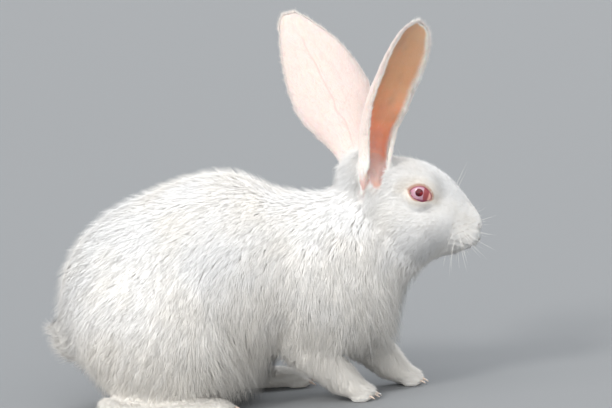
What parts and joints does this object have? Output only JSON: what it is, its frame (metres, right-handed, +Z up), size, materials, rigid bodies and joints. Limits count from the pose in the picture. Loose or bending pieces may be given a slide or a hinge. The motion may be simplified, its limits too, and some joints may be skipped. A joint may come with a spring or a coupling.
{
  "type": "rabbit",
  "caption": "Life-size still model of a white domestic rabbit crouched on all feet, with its head up and its ears raised.",
  "frame": {"origin": "on the floor under the middle of the animal's bounding box", "axes": "+X towards the nose, +Y to the animal's left, +Z up"},
  "size_m": [0.3301, 0.1519, 0.2936],
  "materials": {
    "coat": "short dense white fur",
    "ear": "thin pink skin under very short white hair",
    "eye": "wet, clear cornea over a pale pink iris and a deep red pupil",
    "claw": "pale horn",
    "whisker": "stiff white hair"
  },
  "bodies": {
    "root": {"rump": "coat", "loin": "coat", "chest": "coat", "neck": "coat", "head": "coat", "tail": "coat", "thigh_right": "coat", "thigh_left": "coat", "hind_foot_right": "coat", "hind_foot_left": "coat", "foreleg_right": "coat", "foreleg_left": "coat", "ear_right": "ear", "ear_left": "ear", "eye_right": "eye", "eye_left": "eye"}
  },
  "joints": []
}
